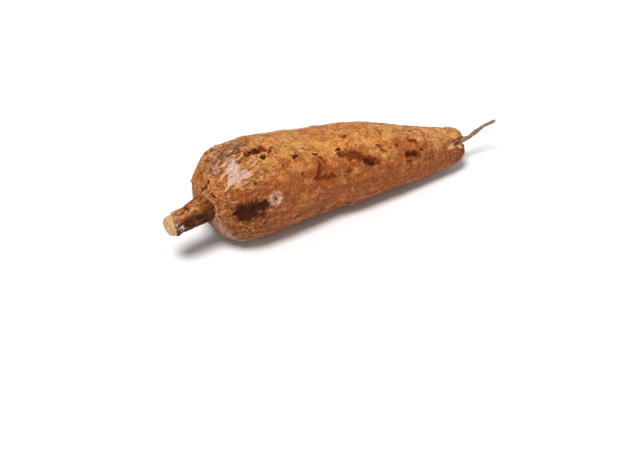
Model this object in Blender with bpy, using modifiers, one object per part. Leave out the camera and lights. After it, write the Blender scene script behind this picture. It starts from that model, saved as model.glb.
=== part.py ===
"""A whole cassava root lying on its side: one grown piece with a woody stem stub, a long tapering body, and a
split tail that ends in a thin feeder root.

Metres, +Z up. The stem points to -X and the tail to +X. The origin is on the surface the root lies on, under the
middle of the root's bounding box.
"""

import math
from bisect import bisect_right

import bmesh
import bpy
from mathutils import Matrix, Vector, noise

# Driving dimensions.
BODY_LENGTH = 0.2345
BODY_THICKNESS = 0.0765
STEM_LENGTH = 0.0315
STEM_THICKNESS = 0.0166
THREAD_REACH = 0.032
THREAD_THICKNESS = 0.0024

# How the body's thickness changes along it: share of the length, share of the greatest thickness.
TAPER = (
    (0.00, 0.900),
    (0.08, 0.960),
    (0.17, 0.978),
    (0.26, 0.962),
    (0.37, 0.904),
    (0.48, 0.849),
    (0.59, 0.802),
    (0.70, 0.690),
    (0.81, 0.548),
    (0.90, 0.442),
    (1.00, 0.335),
)

# Shares of the length over which the shoulder and the tail round off, and how square each is: 2 is an ellipse.
SHOULDER_CAP = 0.152
SHOULDER_SQUARENESS = 2.25
TAIL_CAP = 0.055
TAIL_SQUARENESS = 2.7

# The belly's height over the surface and the sideways sway of the centre line, both in shares of the length.
BELLY = (
    (0.0, 0.032),
    (0.07, 0.008),
    (0.16, -0.001),
    (0.30, -0.0045),
    (0.45, -0.0045),
    (0.62, 0.003),
    (0.80, 0.013),
    (1.0, 0.030),
)
SWAY = ((0.0, -0.010), (0.20, 0.004), (0.50, 0.012), (0.80, -0.002), (1.0, -0.012))

# How far the cross-section departs from a circle: two-sided and three-sided, in shares of its radius.
OVAL = 0.022
THREE_SIDED = 0.014

# Mesh fineness. Rings are spaced partly evenly along the root and partly as on a ball.
ROUND_SIDES = 52
RINGS = 96
STEM_SIDES = 24
EVEN_RINGS = 0.6
JOIN_GRAIN = 0.0001
WELD = 0.00001

# Relief of the bark: size of a swelling and how far it stands out.
BROAD_SIZE = 0.060
BROAD_RISE = 0.0026
KNOB_SIZE = 0.019
KNOB_RISE = 0.0011

# Creases that run part of the way round: share of the length, middle of the arc in degrees from the top
# towards -Y, half the arc in degrees, depth, width.
CREASES = (
    (0.245, 150, 60, 0.0007, 0.0035),
    (0.330, -20, 50, 0.0006, 0.0030),
    (0.455, 95, 45, 0.0008, 0.0035),
    (0.560, -140, 70, 0.0009, 0.0040),
    (0.660, 40, 50, 0.0007, 0.0030),
    (0.735, 170, 60, 0.0008, 0.0035),
    (0.800, 80, 80, 0.0007, 0.0028),
    (0.850, 20, 120, 0.0008, 0.0028),
    (0.893, 70, 130, 0.0009, 0.0026),
    (0.935, 40, 140, 0.0008, 0.0024),
)
WANDER_SIZE = 0.016
WANDER_REACH = 0.0022

# Scars where feeder roots grew: share of the length, degrees from the top towards -Y, width of the raised ring.
SCARS = (
    (0.255, 108, 0.0085),
    (0.075, 38, 0.0060),
    (0.350, -75, 0.0080),
    (0.520, -150, 0.0075),
    (0.610, 10, 0.0055),
    (0.700, -60, 0.0065),
    (0.780, 125, 0.0060),
)
SCAR_RISE = 0.0011

# The stem leaves the shoulder low and on the near side, from a dimple with a raised lip round it.
STEM_FOOT = Vector((0.0010, -0.0080, -0.0025))
STEM_DIRECTION = Vector((-0.95, -0.12, -0.13)).normalized()
STEM_SUNK = 0.012
LIP_REACH = 0.0150
LIP_WIDTH = 0.0040
LIP_RISE = 0.0016
DIMPLE_REACH = 0.0110
DIMPLE_DEPTH = 0.0030

# The shoulder falls away under the stem.
CHIN = Vector((0.0080, 0.0, -0.0260))
CHIN_REACH = 0.0260
CHIN_DEPTH = 0.0034

# The stem's outline: a flared foot, a shaft of bark, its torn edge, and the bare wood that was cut across.
# Share of the length, share of half the thickness.
STEM_OUTLINE = (
    (0.00, 1.18),
    (0.16, 1.02),
    (0.34, 0.97),
    (0.52, 0.97),
    (0.66, 1.01),
    (0.74, 1.03),
    (0.77, 0.88),
    (0.86, 0.86),
    (0.97, 0.85),
    (1.00, 0.80),
)
STEM_OVAL = 0.05
STEM_UNEVEN = 0.10
STEM_UNEVEN_SIZE = 0.007
TORN_FROM = 0.60
TORN_TO = 0.80
TORN_WAVE = 0.0013
CUT_SLANT = 0.12

# The feeder root leaves from inside the upper lobe, runs level, then rises: share of its length, height.
THREAD_START = Vector((-0.010, 0.0005, 0.0028))
THREAD_POINTS = 17
THREAD_RISE = ((0.0, 0.0), (0.25, -0.0010), (0.43, -0.0024), (0.57, 0.0010), (0.79, 0.0066), (1.0, 0.0090))
THREAD_SWAY = 0.0020
THREAD_BASE = 0.0120
THREAD_BASE_SHARE = 0.42
THREAD_UNEVEN = 0.10

# The torn tail: a cleft between the lobe that carries the thread and the blunt lobe beside it. It opens high on the
# near side and runs out through the tail's end.
CLEFT_SIZE = (0.030, 0.016, 0.0042)
CLEFT_PLACE = Vector((-0.003, -0.009, 0.0088))
CLEFT_YAW = 22
CLEFT_PITCH = 7
CLEFT_ROLL = -40
CLEFT_SIDES = 20
CLEFT_RINGS = 12

SHARP_EDGE = 35
BARK_COLOUR = (0.47, 0.20, 0.06, 1.0)
BARK_ROUGHNESS = 0.55


def clear_scene():
    for obj in list(bpy.data.objects):
        bpy.data.objects.remove(obj)


def through(points, place):
    """Value at a place on a smooth curve through (place, value) points."""
    places = [p for p, _ in points]
    values = [v for _, v in points]
    last = len(points) - 1
    i = min(max(bisect_right(places, place) - 1, 0), last - 1)

    def slope(k):
        before, after = max(k - 1, 0), min(k + 1, last)
        return (values[after] - values[before]) / (places[after] - places[before])

    span = places[i + 1] - places[i]
    t = min(max((place - places[i]) / span, 0.0), 1.0)
    return (
        (2 * t**3 - 3 * t**2 + 1) * values[i]
        + (t**3 - 2 * t**2 + t) * span * slope(i)
        + (3 * t**2 - 2 * t**3) * values[i + 1]
        + (t**3 - t**2) * span * slope(i + 1)
    )


def bump(distance, width):
    return math.exp(-((distance / width) ** 2))


def smooth_step(value, low, high):
    t = min(max((value - low) / (high - low), 0.0), 1.0)
    return t * t * (3 - 2 * t)


def round_off(into_cap, squareness):
    return max(0.0, 1 - into_cap**squareness) ** (1 / squareness)


def radius_at(share):
    """Half the body's thickness, rounded off at the shoulder and at the tail."""
    radius = through(TAPER, share) * BODY_THICKNESS / 2
    into_shoulder = max(0.0, 1 - share / SHOULDER_CAP)
    into_tail = max(0.0, (share - 1 + TAIL_CAP) / TAIL_CAP)
    return radius * round_off(into_shoulder, SHOULDER_SQUARENESS) * round_off(into_tail, TAIL_SQUARENESS)


def centre_at(share):
    """The body's centre line, which lies so that the belly follows BELLY."""
    full = through(TAPER, share) * BODY_THICKNESS / 2
    return Vector(
        (
            share * BODY_LENGTH,
            through(SWAY, share) * BODY_LENGTH,
            full + through(BELLY, share) * BODY_LENGTH,
        )
    )


def stem_foot():
    return centre_at(0.0) + STEM_FOOT


def smooth_point(share, degrees):
    """A point of the body before its relief, with degrees counted from the top towards -Y."""
    turn = math.radians(degrees)
    lobes = 1 + OVAL * math.cos(2 * turn + 0.7 + 2 * share) + THREE_SIDED * math.cos(3 * turn + 5 * share)
    out = Vector((0.0, -math.sin(turn), math.cos(turn)))
    return centre_at(share) + out * radius_at(share) * lobes


def crease_depth(share, degrees, point):
    depth = 0.0
    for place, middle, half_arc, deep, width in CREASES:
        off = abs((degrees - middle + 180) % 360 - 180)
        if off < half_arc:
            wander = WANDER_REACH * noise.noise(point / WANDER_SIZE)
            fade = math.cos(math.pi / 2 * off / half_arc)
            depth += deep * fade * bump((share - place) * BODY_LENGTH + wander, width / 2)
    return depth


def scar_rise(point):
    """A ring with a sunken middle over each scar."""
    rise = 0.0
    for place, degrees, width in SCARS:
        away = (point - smooth_point(place, degrees)).length
        rise += SCAR_RISE * (bump(away - width / 2, width / 4) - 0.5 * bump(away, width / 4))
    return rise


def skin_point(share, degrees):
    """A point of the bark."""
    point = smooth_point(share, degrees)
    centre = centre_at(max(share, SHOULDER_CAP))
    out = (point - centre).normalized()
    from_foot = (point - stem_foot()).length
    rise = BROAD_RISE * noise.noise(point / BROAD_SIZE)
    rise += KNOB_RISE * noise.noise(point / KNOB_SIZE) * (1 - bump(from_foot, 2 * LIP_REACH))
    rise += scar_rise(point) - crease_depth(share, degrees, point)
    rise += LIP_RISE * bump(from_foot - LIP_REACH, LIP_WIDTH)
    rise -= DIMPLE_DEPTH * bump(from_foot, DIMPLE_REACH)
    rise -= CHIN_DEPTH * bump((point - centre_at(0.0) - CHIN).length, CHIN_REACH)
    return point + out * rise


def object_of(name, builder, collection):
    """A new object from a bmesh, with its faces turned out."""
    bmesh.ops.recalc_face_normals(builder, faces=builder.faces)
    mesh = bpy.data.meshes.new(name)
    builder.to_mesh(mesh)
    builder.free()
    obj = bpy.data.objects.new(name, mesh)
    collection.objects.link(obj)
    return obj


def evaluated_mesh(obj):
    graph = bpy.context.evaluated_depsgraph_get()
    return bpy.data.meshes.new_from_object(obj.evaluated_get(graph))


def welded_builder(obj):
    """The object's finished mesh with its doubled points merged, and the object itself removed."""
    built = bmesh.new()
    built.from_mesh(evaluated_mesh(obj))
    built.transform(obj.matrix_world)
    bmesh.ops.remove_doubles(built, verts=built.verts, dist=WELD)
    bpy.data.objects.remove(obj)
    return built


def make_body(collection):
    """The body is a ball whose rings are laid out along the root and whose vertices follow skin_point."""
    built = bmesh.new()
    bmesh.ops.create_uvsphere(built, u_segments=ROUND_SIDES, v_segments=RINGS, radius=1.0)
    for vertex in built.verts:
        from_stem = math.acos(max(-1.0, min(1.0, vertex.co.z)))
        share = EVEN_RINGS * from_stem / math.pi + (1 - EVEN_RINGS) * (1 - math.cos(from_stem)) / 2
        degrees = math.degrees(math.atan2(vertex.co.y, vertex.co.x))
        vertex.co = skin_point(share, degrees)
    return object_of("cassava_root", built, collection)


def turned_stem(collection):
    """The stem's outline turned round the Z axis."""
    radius = STEM_THICKNESS / 2
    foot_reach = STEM_OUTLINE[0][1] * radius
    line = [(0.0, 0.0, -STEM_SUNK), (foot_reach, 0.0, -STEM_SUNK)]
    line += [(reach * radius, 0.0, share * STEM_LENGTH) for share, reach in STEM_OUTLINE]
    line.append((0.0, 0.0, STEM_LENGTH))
    outline = bpy.data.meshes.new("stem_outline")
    outline.from_pydata(line, [(k, k + 1) for k in range(len(line) - 1)], [])
    turned = bpy.data.objects.new("stem_outline", outline)
    collection.objects.link(turned)
    screw = turned.modifiers.new("turn", "SCREW")
    screw.axis = "Z"
    screw.angle = math.tau
    screw.steps = STEM_SIDES
    screw.render_steps = STEM_SIDES
    screw.use_merge_vertices = True
    screw.merge_threshold = WELD
    return turned


def make_stem(collection):
    built = welded_builder(turned_stem(collection))
    for vertex in built.verts:
        around = math.atan2(vertex.co.y, vertex.co.x)
        reach = math.hypot(vertex.co.x, vertex.co.y)
        share = vertex.co.z / STEM_LENGTH
        lump = noise.noise(vertex.co / STEM_UNEVEN_SIZE)
        uneven = 1 + STEM_OVAL * math.cos(2 * around + 1.1) + STEM_UNEVEN * lump
        vertex.co.x *= uneven
        vertex.co.y *= uneven
        if TORN_FROM < share < TORN_TO:
            vertex.co.z += TORN_WAVE * (math.sin(3 * around + 0.5) + 0.6 * math.sin(7 * around))
        if share > TORN_TO:
            vertex.co.z += CUT_SLANT * reach * math.cos(around) * smooth_step(share, TORN_TO, 1.0)
    turn = STEM_DIRECTION.to_track_quat("Z", "Y").to_matrix().to_4x4()
    built.transform(Matrix.Translation(stem_foot()) @ turn)
    return object_of("stem", built, collection)


def thread_route():
    """Points of the feeder root and its radius at each."""
    start = centre_at(1.0) + THREAD_START
    whole = THREAD_REACH - THREAD_START.x
    for k in range(THREAD_POINTS):
        t = k / (THREAD_POINTS - 1)
        side = THREAD_SWAY * math.sin(4.2 * t)
        slim = THREAD_THICKNESS / 2 * (1 + THREAD_UNEVEN * math.sin(11 * t))
        radius = max(THREAD_BASE / 2 * (1 - t / THREAD_BASE_SHARE), slim)
        yield start + Vector((t * whole, side, through(THREAD_RISE, t))), radius


def make_thread(collection):
    route = list(thread_route())
    curve = bpy.data.curves.new("thread_route", "CURVE")
    curve.dimensions = "3D"
    curve.bevel_depth = 1.0
    curve.bevel_resolution = 2
    curve.use_fill_caps = True
    spline = curve.splines.new("POLY")
    spline.points.add(len(route) - 1)
    for point, (place, radius) in zip(spline.points, route):
        point.co = (*place, 1.0)
        point.radius = radius
    guide = bpy.data.objects.new("thread_route", curve)
    collection.objects.link(guide)
    return object_of("thread", welded_builder(guide), collection)


def make_cleft(collection):
    """A flat lens that opens the tail."""
    built = bmesh.new()
    bmesh.ops.create_uvsphere(built, u_segments=CLEFT_SIDES, v_segments=CLEFT_RINGS, radius=0.5)
    size = Matrix.Diagonal((*CLEFT_SIZE, 1.0))
    yaw = Matrix.Rotation(math.radians(CLEFT_YAW), 4, "Z")
    pitch = Matrix.Rotation(math.radians(CLEFT_PITCH), 4, "Y")
    roll = Matrix.Rotation(math.radians(CLEFT_ROLL), 4, "X")
    built.transform(Matrix.Translation(centre_at(1.0) + CLEFT_PLACE) @ yaw @ pitch @ roll @ size)
    return object_of("cleft", built, collection)


def combine(target, other, operation):
    """Joins or cuts the target with the other piece, and clears the slivers left along the seam."""
    modifier = target.modifiers.new(other.name, "BOOLEAN")
    modifier.operation = operation
    modifier.object = other
    joined = evaluated_mesh(target)
    target.modifiers.clear()
    target.data = joined
    bpy.data.objects.remove(other)
    built = bmesh.new()
    built.from_mesh(joined)
    bmesh.ops.remove_doubles(built, verts=built.verts, dist=JOIN_GRAIN)
    built.to_mesh(joined)
    built.free()


def flatten_belly(obj):
    """Cuts the belly off at the surface, which leaves the small flat spot that the root rests on."""
    built = bmesh.new()
    built.from_mesh(obj.data)
    cut = bmesh.ops.bisect_plane(
        built,
        geom=built.verts[:] + built.edges[:] + built.faces[:],
        plane_co=(0, 0, 0),
        plane_no=(0, 0, -1),
        clear_outer=True,
    )
    rim = [item for item in cut["geom_cut"] if isinstance(item, bmesh.types.BMEdge)]
    bmesh.ops.holes_fill(built, edges=rim)
    bmesh.ops.recalc_face_normals(built, faces=built.faces)
    built.to_mesh(obj.data)
    built.free()


def centre_on_origin(obj):
    low = Vector(min(v.co[k] for v in obj.data.vertices) for k in range(3))
    high = Vector(max(v.co[k] for v in obj.data.vertices) for k in range(3))
    middle = (low + high) / 2
    obj.data.transform(Matrix.Translation((-middle.x, -middle.y, -low.z)))


def bark_material():
    made = bpy.data.materials.new("bark")
    made.use_nodes = True
    shader = made.node_tree.nodes["Principled BSDF"]
    shader.inputs["Base Color"].default_value = BARK_COLOUR
    shader.inputs["Roughness"].default_value = BARK_ROUGHNESS
    shader.inputs["Metallic"].default_value = 0.0
    return made


def main():
    clear_scene()
    collection = bpy.data.collections.new("cassava_root")
    bpy.context.scene.collection.children.link(collection)
    root = make_body(collection)
    combine(root, make_stem(collection), "UNION")
    combine(root, make_thread(collection), "UNION")
    combine(root, make_cleft(collection), "DIFFERENCE")
    flatten_belly(root)
    centre_on_origin(root)
    root.data.materials.clear()
    root.data.materials.append(bark_material())
    root.data.shade_smooth()
    root.data.set_sharp_from_angle(angle=math.radians(SHARP_EDGE))


main()
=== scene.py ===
# %% [markdown]
# # A cassava root
# A cassava root is a swollen root in a thin, papery, ochre-brown bark. This one lies on its side. It has a
# woody stem stub at its fat end and a split tail that runs out into one thin feeder root.
# The lesson dresses the solid model that is already made: each step first says what the real thing is like,
# then how it could be made, and why one way was chosen.

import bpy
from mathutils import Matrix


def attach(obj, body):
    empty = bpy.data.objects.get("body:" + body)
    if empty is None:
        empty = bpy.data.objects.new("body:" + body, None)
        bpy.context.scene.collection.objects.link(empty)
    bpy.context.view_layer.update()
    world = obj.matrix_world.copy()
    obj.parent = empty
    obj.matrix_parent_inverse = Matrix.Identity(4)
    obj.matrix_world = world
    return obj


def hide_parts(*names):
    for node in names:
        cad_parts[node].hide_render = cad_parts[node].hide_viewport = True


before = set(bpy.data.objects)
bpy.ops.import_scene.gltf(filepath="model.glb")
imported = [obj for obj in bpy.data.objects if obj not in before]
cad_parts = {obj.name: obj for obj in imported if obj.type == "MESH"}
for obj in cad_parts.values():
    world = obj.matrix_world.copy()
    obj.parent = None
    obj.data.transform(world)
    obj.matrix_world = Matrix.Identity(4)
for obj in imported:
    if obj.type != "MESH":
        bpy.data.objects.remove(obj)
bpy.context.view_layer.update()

# %% Bring in what the steps need
import math
import random

import bpy
import numpy as np
from mathutils import Matrix, Vector, noise

MM = 0.001
CAD_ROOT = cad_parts["cassava_root"]
DRAW_SEED = 7
WANDER_SEED = 31

# vector noise has a seed of its own, and without it each run would wander in another way
random.seed(DRAW_SEED)
noise.seed_set(WANDER_SEED)
print("seeds", DRAW_SEED, "and", WANDER_SEED)

# %% [markdown]
# ## Camera
# The root is seen from above and from its stem's side, so that it runs away to the right. The camera's turn
# and its height above the horizon were found by laying the model's outline over the picture. A long lens
# keeps the far end nearly as large as the near end.

# %% Camera
CAMERA_PLACE = Vector((-0.4908, -0.8171, 0.6403))
CAMERA_TURN = -30
CAMERA_HEIGHT = 35
CAMERA_LENS = 85
CAMERA_SENSOR = 36
CAMERA_SEES = (0.05, 50)

turn, height = math.radians(CAMERA_TURN), math.radians(CAMERA_HEIGHT)
backwards = Vector((math.sin(turn) * math.cos(height), -math.cos(turn) * math.cos(height), math.sin(height)))
camera = bpy.data.objects.new("camera", bpy.data.cameras.new("camera"))
bpy.context.scene.collection.objects.link(camera)
camera.location = CAMERA_PLACE
camera.rotation_mode = "QUATERNION"
camera.rotation_quaternion = (-backwards).to_track_quat("-Z", "Y")
camera.data.lens = CAMERA_LENS
camera.data.sensor_width = CAMERA_SENSOR
camera.data.clip_start, camera.data.clip_end = CAMERA_SEES
bpy.context.scene.camera = camera
print("camera at", tuple(round(c, 3) for c in camera.location))

# %% [markdown]
# ## Small helpers
# An operator acts on whatever is selected, so one helper selects a single object. Another one adds a modifier
# and applies it at once, because a finished piece keeps plain geometry.

# %% Helpers for objects and modifiers
def pick_only(thing):
    if bpy.context.object and bpy.context.object.mode != "OBJECT":
        bpy.ops.object.mode_set(mode="OBJECT")
    bpy.ops.object.select_all(action="DESELECT")
    thing.select_set(True)
    bpy.context.view_layer.objects.active = thing


def apply_modifier(thing, kind, **settings):
    pick_only(thing)
    step = thing.modifiers.new(kind.lower(), kind)
    for name, value in settings.items():
        setattr(step, name, value)
    bpy.ops.object.modifier_apply(modifier=step.name)


def positions(thing):
    flat = np.empty(len(thing.data.vertices) * 3)
    thing.data.vertices.foreach_get("co", flat)
    return flat.reshape(-1, 3)


def triangles(thing):
    return sum(len(face.vertices) - 2 for face in thing.data.polygons)


def fade(values, start, end):
    """0 at start, 1 at end and smooth between them, for an array."""
    share = np.clip((values - start) / (end - start), 0, 1)
    return share * share * (3 - 2 * share)


def hump(values, middle, width):
    """1 at the middle value, falling off like a bell to both sides."""
    return np.exp(-(((values - middle) / width) ** 2))

# %% [markdown]
# ## The body's own mesh
# The solid has large flat facets, which show up in soft light. A copy of it could be subdivided, but the
# facets where stem and thread join would pucker. A voxel remesh gives an even skin of small squares instead,
# which can be smoothed and then raised and sunk anywhere. The stem stub and the feeder root are cut off this
# copy first, because both get finer meshes of their own.

# %% Copy the solid, cut off its thin ends and give it an even skin
STEM_FOOT = Vector((-0.1170, -0.0111, 0.0394))
STEM_WAY = Vector((-0.9831, -0.1242, -0.1345)).normalized()
STEM_CUT = 0.0030
THREAD_CUT = 0.1180
SKIN_GRAIN = 0.0008
SKIN_SMOOTHING = 14
WELD = 0.00001

skin = bpy.data.objects.new("root_skin", CAD_ROOT.data.copy())
bpy.context.scene.collection.objects.link(skin)
skin.data.materials.clear()
pick_only(skin)
bpy.ops.object.mode_set(mode="EDIT")
bpy.ops.mesh.select_all(action="SELECT")
bpy.ops.mesh.remove_doubles(threshold=WELD)
bpy.ops.mesh.bisect(
    plane_co=STEM_FOOT + STEM_WAY * STEM_CUT, plane_no=STEM_WAY, use_fill=True, clear_outer=True
)
bpy.ops.mesh.select_all(action="SELECT")
bpy.ops.mesh.bisect(plane_co=(THREAD_CUT, 0, 0), plane_no=(1, 0, 0), use_fill=True, clear_outer=True)
bpy.ops.object.mode_set(mode="OBJECT")
apply_modifier(skin, "REMESH", mode="VOXEL", voxel_size=SKIN_GRAIN)
apply_modifier(skin, "SMOOTH", factor=0.5, iterations=SKIN_SMOOTHING)
print("skin:", triangles(skin), "triangles")

# %% [markdown]
# ## Finding places on the skin
# A mark on a root is easiest to give as a place along it, in millimetres, and a turn round it, in degrees
# from the top towards the near side. The root bends, so the turn is measured round a line through its middle,
# found from the skin itself. A ray from that line outwards then finds the place on the skin.

# %% Middle line of the body
LINE_ENDS = (-118, 116)
LINE_POINTS = 14
SLICE_REACH = 0.1
SLICE_HALF = 0.004

skin_points = positions(skin)
places_mm = skin_points / MM
line_x = np.linspace(*LINE_ENDS, LINE_POINTS) * MM
line_y = []
line_z = []
for station in np.clip(line_x, -SLICE_REACH, SLICE_REACH):
    slice_near = skin_points[np.abs(skin_points[:, 0] - station) < SLICE_HALF]
    line_y.append((slice_near[:, 1].min() + slice_near[:, 1].max()) / 2)
    line_z.append((slice_near[:, 2].min() + slice_near[:, 2].max()) / 2)
beside = skin_points[:, 1] - np.interp(skin_points[:, 0], line_x, line_y)
above = skin_points[:, 2] - np.interp(skin_points[:, 0], line_x, line_z)
skin_turn = np.degrees(np.arctan2(-beside, above))
skin_along = skin_points[:, 0] / MM
print("middle line from", round(line_x[0], 3), "to", round(line_x[-1], 3))

# %% Flow of the bark: how far from the stem's foot, and where round a line that starts at that foot
FLOW_ROUND = 30.0
FLOW_FOOT = (-117, -11.1)
FLOW_STRAIGHT = -72
FLOW_FAN = (0, -40)

foot_side = np.interp(skin_along, (FLOW_FOOT[0], FLOW_STRAIGHT), (FLOW_FOOT[1], 0.0))
beside_flow = np.where(skin_along < FLOW_STRAIGHT, skin_points[:, 1] / MM - foot_side, beside / MM)
above_flow = above / MM
round_flow = np.maximum(np.hypot(beside_flow, above_flow), 0.01)
flow = np.column_stack((
    skin_along + round_flow * fade(skin_along, *FLOW_FAN),
    FLOW_ROUND * beside_flow / round_flow,
    FLOW_ROUND * above_flow / round_flow,
))
print("flow runs from", round(flow[:, 0].min()), "to", round(flow[:, 0].max()), "mm")

# %% Noise, and places that wander a little, so that a mark's edge does too
WANDERS = ((4.2, 2.0), (1.9, 0.8))


def noise_at(places, sizes, octaves, seed=0.0):
    """Noise between 0 and 1 at each place, with lumps of the given sizes along the three directions."""
    scaled = places / np.array(sizes) + seed
    values = [noise.fractal(place, 1.0, 2.0, octaves) for place in map(Vector, scaled.tolist())]
    return np.clip(0.5 + 0.5 * np.array(values), 0, 1)


def wander(place):
    """How far a place in millimetres strays: a broad sway and a fine one, each with a size and a reach."""
    return sum((noise.noise_vector(place / size) * reach for size, reach in WANDERS), Vector())


wandering = skin_points + np.array([wander(Vector(place)) for place in places_mm.tolist()]) * MM
print("marks wander up to", round(np.abs(wandering - skin_points).max() / MM, 1), "mm")

# %% Places on the skin, and strokes between them
PAST_THE_SKIN = 0.03
FAR_FROM_MARKS = -1.5


def on_skin(along, turned):
    x = along * MM
    middle = Vector((x, np.interp(x, line_x, line_y), np.interp(x, line_x, line_z)))
    outwards = Vector((0, -math.sin(math.radians(turned)), math.cos(math.radians(turned))))
    found, place, normal, face = skin.ray_cast(middle, outwards)
    return place if found else middle + outwards * PAST_THE_SKIN


def away_from(points, start, end):
    """Distance in millimetres of each point from the straight stroke between two places."""
    a, b = np.array(on_skin(*start)), np.array(on_skin(*end))
    stroke = b - a
    share = np.clip((points - a) @ stroke / max(stroke @ stroke, 1e-12), 0, 1)
    return np.linalg.norm(points - a - share[:, None] * stroke, axis=1) / MM


def blot(marks, points=wandering):
    """1 in the middle of a mark, 0 at its edge and below 0 outside: the largest over all of the marks."""
    field = np.full(len(skin_points), FAR_FROM_MARKS)
    for start, end, reach in marks:
        field = np.maximum(field, 1 - away_from(points, start, end) / reach)
    return field


print("the top of the shoulder is at", [round(c, 3) for c in on_skin(-80, 0)])

# %% [markdown]
# ## Where the marks are
# A dug root carries dark scabs where the papery bark came off, violet-brown areas where it is thick and damp,
# a pale waxy bloom with a painted highlight in it, ring scars where side roots broke off, rusty, orange and
# yellow areas, and torn edges of paper that stand up a little, each with a painted highlight on it and a
# painted shadow below it. Painting them by hand would work for one view. Here they are given as strokes from
# one place to another with half their width in millimetres, so that each can be both coloured and raised. The
# side that nobody sees gets marks of the same kinds from a seeded draw.

# %% Listed marks: scabs
DARK_SCABS = [
    ((-96, 83), (-87, 80), 6.4), ((-101, 86), (-97, 84), 2.2), ((-97, 91), (-89, 89), 4.2),
    ((-85, 81), (-77, 81), 3.8), ((-80, 16), (-75, 13), 1.5), ((-72, 13), (-69, 13), 1.6),
    ((-70, 23), (-68, 24), 1.5), ((-45, 32), (-42, 31), 2.1), ((-7, 36), (-5, 36), 1.3),
    ((13, 60), (18, 65), 2.6), ((67, 56), (68, 57), 1.4), ((53, 60), (60, 63), 2.0),
    ((108, 88), (110, 86), 1.0), ((-27, 33), (-24, 34), 1.1), ((-113, 50), (-112, 54), 1.2),
    ((-110, 21), (-111, 23), 1.2), ((-113, 28), (-114, 30), 1.2), ((-82, 52), (-82, 53), 1.1),
    ((-43, 56), (-43, 57), 1.2),
]
BROWN_SCABS = [
    ((-5, 43), (1, 44), 3.0), ((0, 44), (8, 50), 3.6), ((2, 47), (4, 48), 4.2),
    ((9, 54), (20, 62), 3.2), ((18, 60), (24, 66), 2.2), ((-79, 15), (-65, 13), 2.7),
    ((-66, 11), (-66, 14), 1.6), ((-62, 18), (-57, 14), 1.4), ((-60, 19), (-57, 22), 1.0),
    ((-115, 30), (-116, 31), 1.1), ((-112, -2), (-113, 0), 1.0), ((-102, 102), (-102, 103), 0.9),
    ((-33, 22), (-32, 25), 1.1), ((-25, 39), (-20, 46), 1.4), ((-27, 46), (-28, 47), 1.0),
    ((-25, 50), (-28, 61), 2.7), ((-32, 67), (-16, 68), 2.2), ((-6, 66), (-2, 66), 1.6),
    ((3, 19), (6, 18), 1.6), ((28, 42), (31, 43), 1.3), ((30, 50), (33, 51), 1.4),
    ((38, 48), (39, 49), 1.4), ((45, 44), (46, 47), 1.3), ((35, 36), (36, 37), 1.1),
    ((72, 48), (72, 49), 1.2), ((110, 87), (109, 95), 1.8), ((-105, -15), (-105, -10), 1.1),
    ((-92, 62), (-91, 64), 0.9), ((-105, 59), (-105, 61), 0.9), ((59, 33), (65, 38), 1.7),
    ((60, 40), (64, 36), 1.5), ((67, 23), (67, 24), 0.9), ((75, 31), (74, 40), 1.0),
    ((65, 66), (65, 67), 1.2), ((53, 73), (56, 74), 1.2), ((36, 8), (36, 17), 1.0),
    ((62, 6), (69, 7), 0.9), ((77, 84), (78, 84), 1.1), ((87, 91), (88, 91), 0.9),
    ((-82, 91), (-80, 95), 2.4), ((52, 60), (62, 64), 2.6),
]

# %% Listed marks: areas of another colour, ring scars and torn edges
VIOLET_AREAS = [
    ((-105, 5), (-97, 2), 6.4), ((-97, 2), (-88, 1), 6.6), ((-88, 1), (-78, -3), 4.0),
    ((-72, -7), (-68, -6), 1.2), ((-17, -1), (-15, 0), 1.8), ((-105, -14), (-104, -12), 1.8),
    ((-66, 9), (-64, 13), 2.4),
]
# a pale waxy bloom, with a painted highlight laid into its colour
BLOOM_AND_HIGHLIGHT_AREAS = [((-94, 24), (-95, 38), 5.6), ((-99, 39), (-95, 36), 2.6), ((-91, 37), (-85, 38), 3.0)]
RUST_AREAS = [
    ((-38, 31), (-37, 43), 3.2), ((-113, -11), (-114, 20), 4.0), ((-87, 94), (-80, 92), 2.5),
    ((8, 50), (24, 60), 5.0), ((48, 44), (68, 52), 7.0), ((-27, 47), (-29, 68), 6.5),
    ((-98, 64), (-60, 66), 7.0),
]
ORANGE_AREAS = [
    ((-113, -12), (-112, 24), 6.0), ((28, 20), (36, 32), 8.0), ((32, 44), (36, 46), 5.0),
    ((58, 50), (66, 54), 5.0), ((-82, 48), (-56, 54), 4.5), ((-98, 100), (-84, 106), 5.0),
    ((-60, 262), (-30, 290), 8.0), ((10, 210), (40, 230), 8.0), ((70, 270), (90, 250), 6.0),
]
YELLOW_AREAS = [
    ((-76, 26), (-64, 34), 6.0), ((-46, 12), (-38, 5), 6.0), ((-13, 15), (-8, 32), 6.5),
    ((15, 22), (20, 32), 5.0), ((92, 25), (103, 36), 5.0), ((-20, 300), (20, 310), 8.0),
    ((60, 190), (80, 200), 6.0),
]
GREY_AREAS = [
    ((-112, 108), (-104, 140), 8.0), ((-104, 140), (-80, 150), 7.0), ((-112, 110), (-112, 118), 4.0),
]
RING_SCARS = [(-69, 77, 5.4), (-104, 17, 2.8), (-94, 14, 1.6)]
# torn edges of paper, raised, each painted with a highlight on it and a shadow below it
PAPER_EDGES = [
    ((-106, 34), (-99, 27), 1.2), ((-104, 50), (-99, 44), 1.9), ((-88, 42), (-82, 41), 1.6),
    ((-88, 19), (-82, 13), 1.1), ((-80, 30), (-75, 27), 1.0), ((-91, 4), (-87, 4), 0.9),
    ((-103, -2), (-99, -6), 1.0), ((-102, 69), (-99, 69), 1.1), ((-104, 12), (-99, 7), 1.1),
    ((-99, 18), (-94, 12), 1.0),
]

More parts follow.
